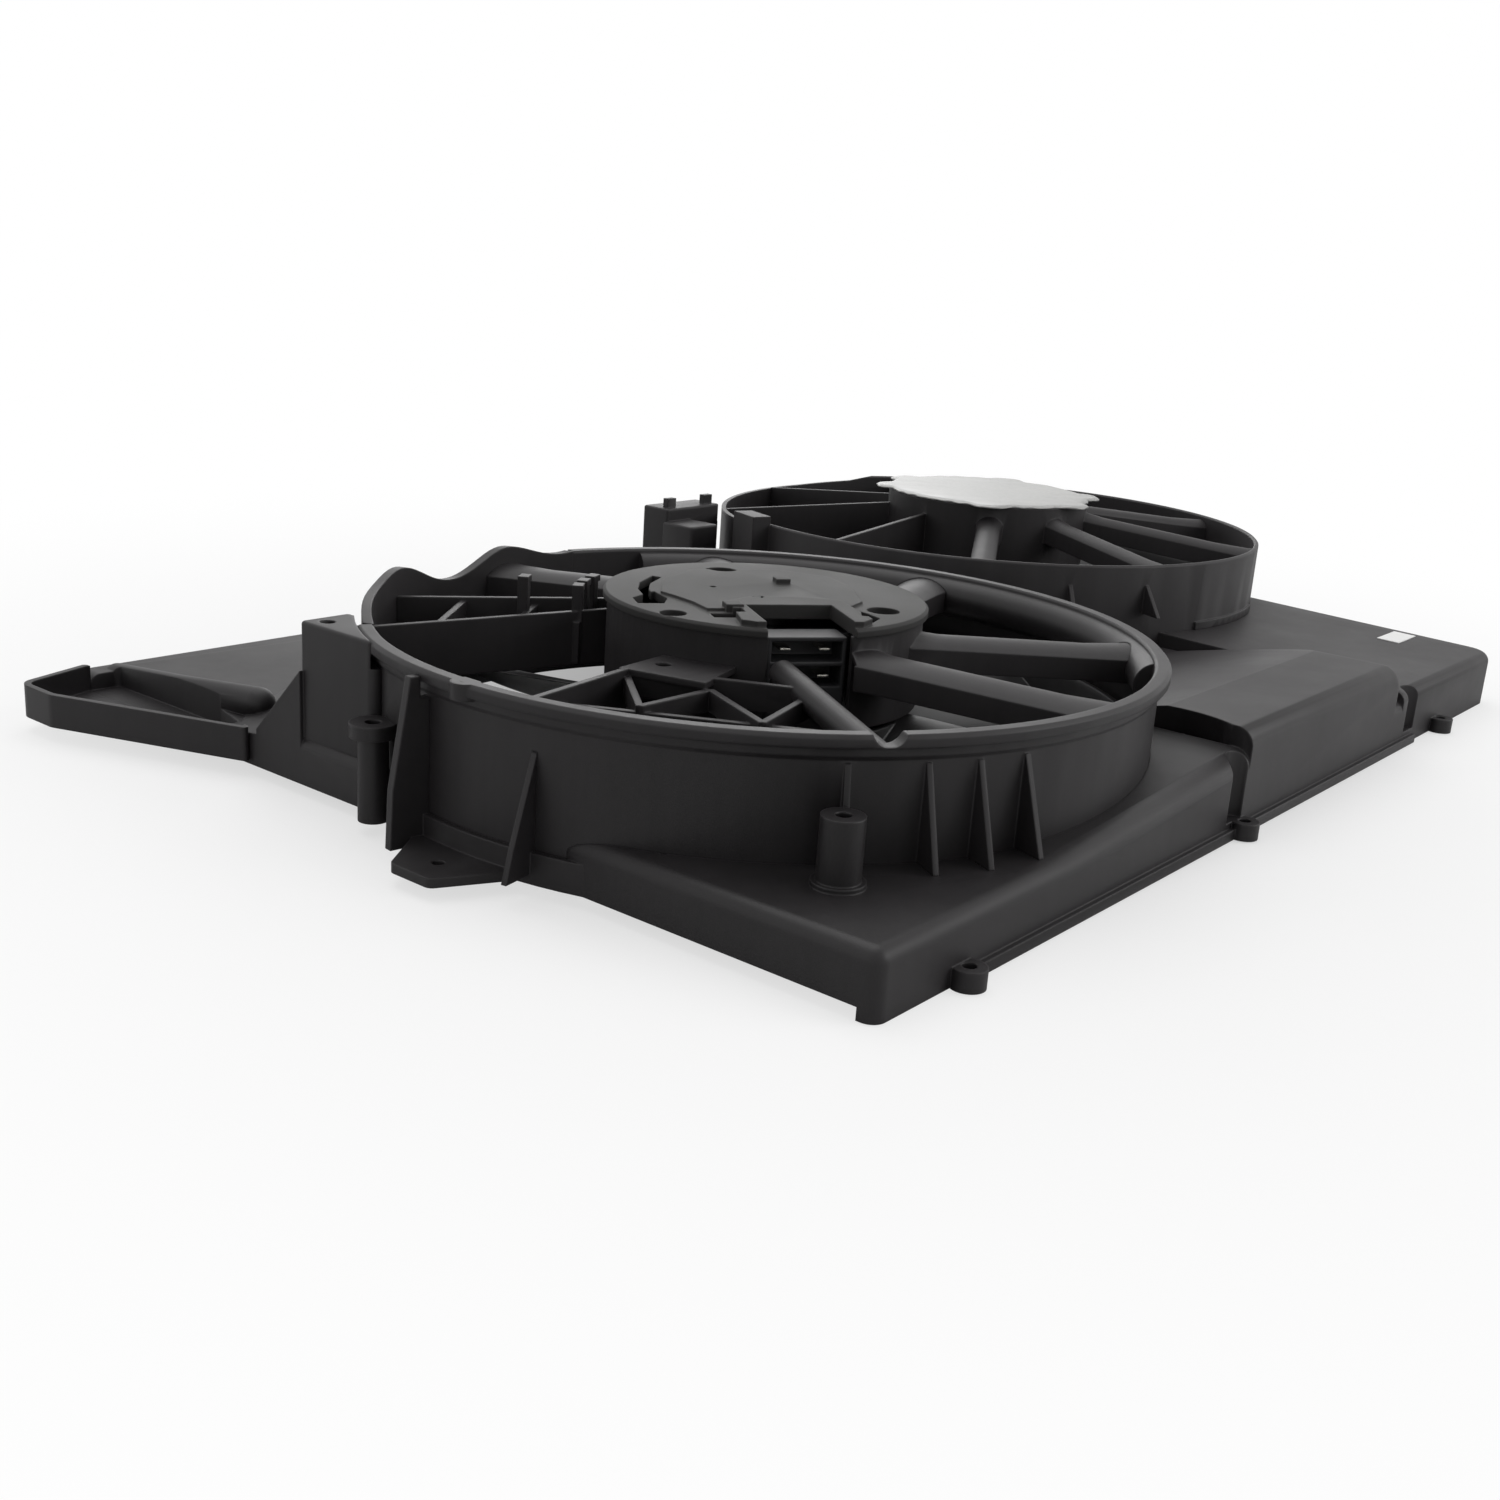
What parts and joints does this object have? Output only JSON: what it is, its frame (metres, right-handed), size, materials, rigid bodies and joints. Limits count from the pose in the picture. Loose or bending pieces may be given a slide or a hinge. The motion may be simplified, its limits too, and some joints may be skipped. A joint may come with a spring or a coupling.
{
  "type": "radiator cooling fan",
  "caption": "Twin banded cooling fans in a moulded radiator shroud with round rings, swept stator vanes, motors, a duct box and mounting bosses.",
  "frame": {"origin": "on the radiator side (the underside), under the middle of the whole part", "axes": "+X along the long side from the near fan to the far fan, +Z out of the radiator side, along both fan axes"},
  "size_m": [0.8008, 0.5175, 0.0964],
  "materials": {
    "shroud_plastic": "fine-grained satin moulded plastic",
    "fan_plastic": "satin moulded plastic",
    "cover_plastic": "lighter satin moulded plastic",
    "shield_aluminium": "bright embossed foil",
    "can_steel": "dark coated deep-drawn steel",
    "zinc_steel": "zinc plated",
    "ground_steel": "ground",
    "bearing_steel": "polished",
    "ferrite": "dark sintered",
    "core_steel": "stacked laminations",
    "copper_wire": "enamelled copper",
    "card_plastic": "glass-filled plastic",
    "carbon": "pressed carbon",
    "tinned_brass": "tinned"
  },
  "bodies": {
    "shroud": {"shroud_deck": "shroud_plastic", "side_ear": "shroud_plastic", "front_truss": "shroud_plastic", "near_motor_cover": "cover_plastic", "far_motor_plate": "shield_aluminium", "connector_housing": "card_plastic", "connector_terminals": "tinned_brass", "near_ring": "shroud_plastic", "near_stator": "shroud_plastic", "near_motor_can": "can_steel", "near_lower_bearing": "bearing_steel", "near_end_plate": "can_steel", "near_upper_bearing": "bearing_steel", "near_magnets": "ferrite", "near_brush_card": "card_plastic", "near_brushes": "carbon", "near_motor_screws": "zinc_steel", "far_ring": "shroud_plastic", "far_stator": "shroud_plastic", "far_motor_can": "can_steel", "far_lower_bearing": "bearing_steel", "far_end_plate": "can_steel", "far_upper_bearing": "bearing_steel", "far_magnets": "ferrite", "far_brush_card": "card_plastic", "far_brushes": "carbon", "far_motor_screws": "zinc_steel"},
    "near_rotor": {"near_fan": "fan_plastic", "near_shaft": "ground_steel", "near_armature_core": "core_steel", "near_windings": "copper_wire", "near_commutator": "copper_wire", "near_fan_nut": "zinc_steel"},
    "far_rotor": {"far_fan": "fan_plastic", "far_shaft": "ground_steel", "far_armature_core": "core_steel", "far_windings": "copper_wire", "far_commutator": "copper_wire", "far_fan_nut": "zinc_steel"}
  },
  "joints": [
    {"name": "near_fan_spin", "type": "hinge", "parent": "shroud", "child": "near_rotor", "pos_m": [-0.1824, -0.05115, 0.045], "axis": [0, 0, 1], "continuous": true},
    {"name": "far_fan_spin", "type": "hinge", "parent": "shroud", "child": "far_rotor", "pos_m": [0.2146, 0.07285, 0.045], "axis": [0, 0, 1], "continuous": true}
  ]
}
